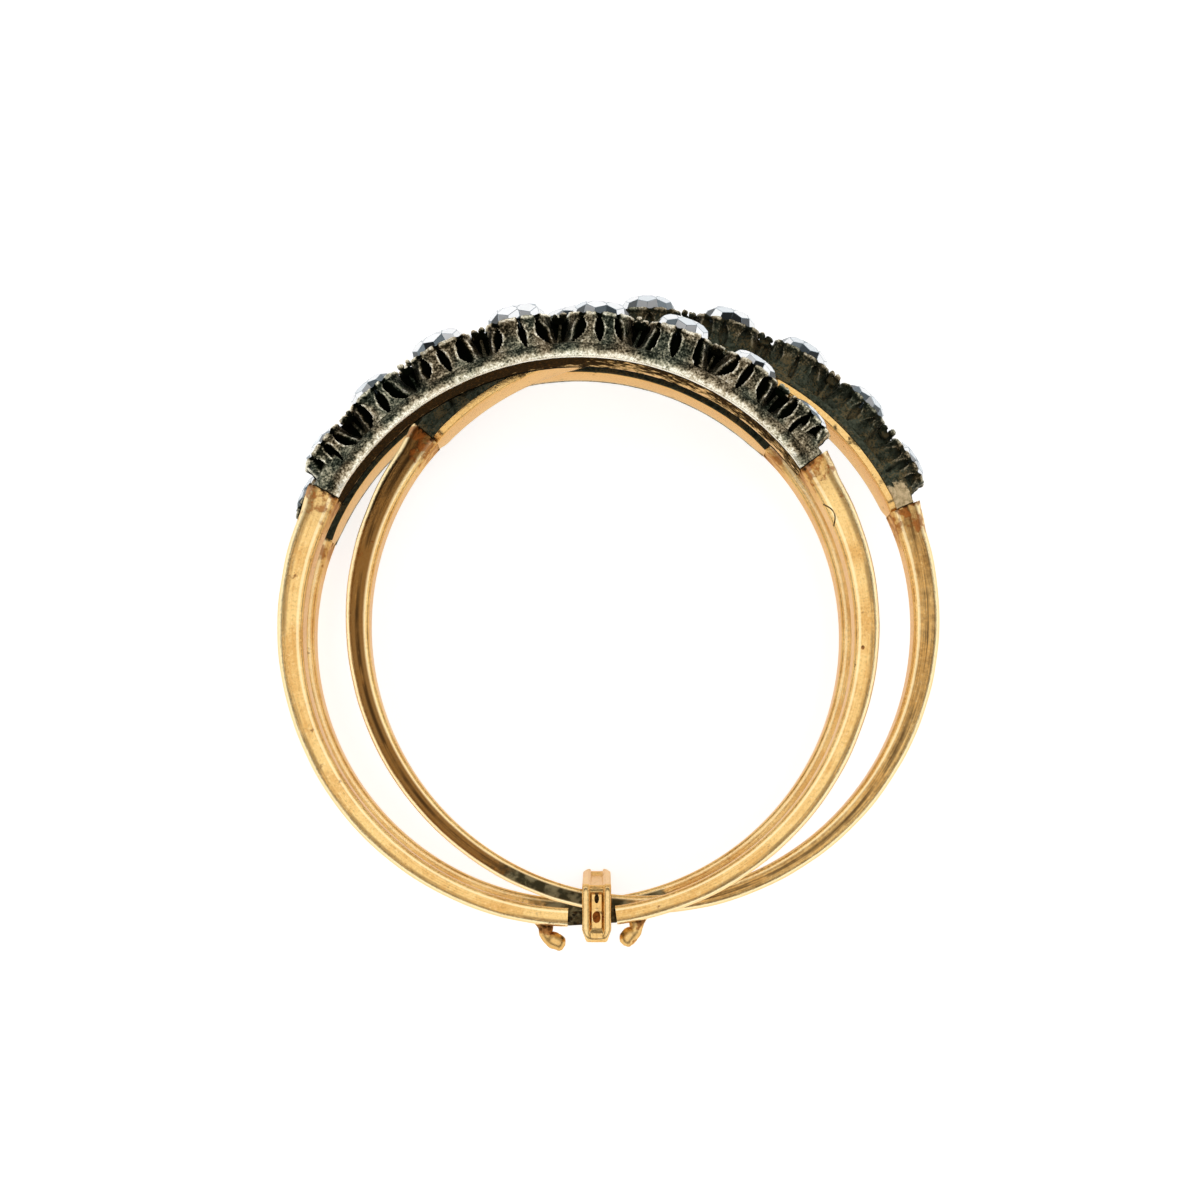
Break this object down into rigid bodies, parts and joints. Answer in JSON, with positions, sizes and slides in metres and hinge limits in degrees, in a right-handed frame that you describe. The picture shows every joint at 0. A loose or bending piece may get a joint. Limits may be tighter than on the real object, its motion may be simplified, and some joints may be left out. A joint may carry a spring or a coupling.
{
  "type": "stacking ring of linked half-hoop bands",
  "caption": "Finger ring of slim gold hoops held together by a small keeper link at the foot, each with a silver half-hoop of nicked collets set with old-cut stones; the hoops fan apart.",
  "frame": {"origin": "centre of the back hoop's finger hole, on the surface that the ring lies on", "axes": "+Z along the finger, towards the front hoop, and up as the ring lies; +Y towards the heads with the stones, with the keeper link at -Y; +X to the right, seen from the front hoop"},
  "size_m": [0.0211, 0.021, 0.0065],
  "materials": {
    "gold": "worn polish, brown in the corners",
    "silver": "black-oxidised, rubbed bright on edges",
    "stone": "polished facets"
  },
  "bodies": {
    "back_hoop": {"gold_hoop_back": "gold", "silver_setting_back": "silver", "stone_back_1": "stone", "stone_back_2": "stone", "stone_back_3": "stone", "stone_back_4": "stone", "stone_back_5": "stone", "stone_back_6": "stone", "stone_back_7": "stone", "stone_back_8": "stone"},
    "keeper": {"keeper_link": "gold"},
    "middle_hoop": {"gold_hoop_middle": "gold", "silver_setting_middle": "silver", "stone_middle_1": "stone", "stone_middle_2": "stone", "stone_middle_3": "stone", "stone_middle_4": "stone", "stone_middle_5": "stone", "stone_middle_6": "stone", "stone_middle_7": "stone", "stone_middle_8": "stone"},
    "front_hoop": {"gold_hoop_front": "gold", "silver_setting_front": "silver", "stone_front_1": "stone", "stone_front_2": "stone", "stone_front_3": "stone", "stone_front_4": "stone", "stone_front_5": "stone", "stone_front_6": "stone", "stone_front_7": "stone", "stone_front_8": "stone"}
  },
  "joints": [
    {"name": "keeper_splay", "type": "hinge", "parent": "back_hoop", "child": "keeper", "pos_m": [0.00062, -0.00905, 0.00105], "axis": [1, 0, 0], "range_deg": [0, 14]},
    {"name": "middle_fan", "type": "hinge", "parent": "keeper", "child": "middle_hoop", "pos_m": [0.00062, -0.00905, 0.00325], "axis": [0, 0, 1], "range_deg": [-5.2, 22.8]},
    {"name": "front_fan", "type": "hinge", "parent": "keeper", "child": "front_hoop", "pos_m": [0.00062, -0.00905, 0.00545], "axis": [0, 0, 1], "range_deg": [-13.65, 10.35]}
  ]
}
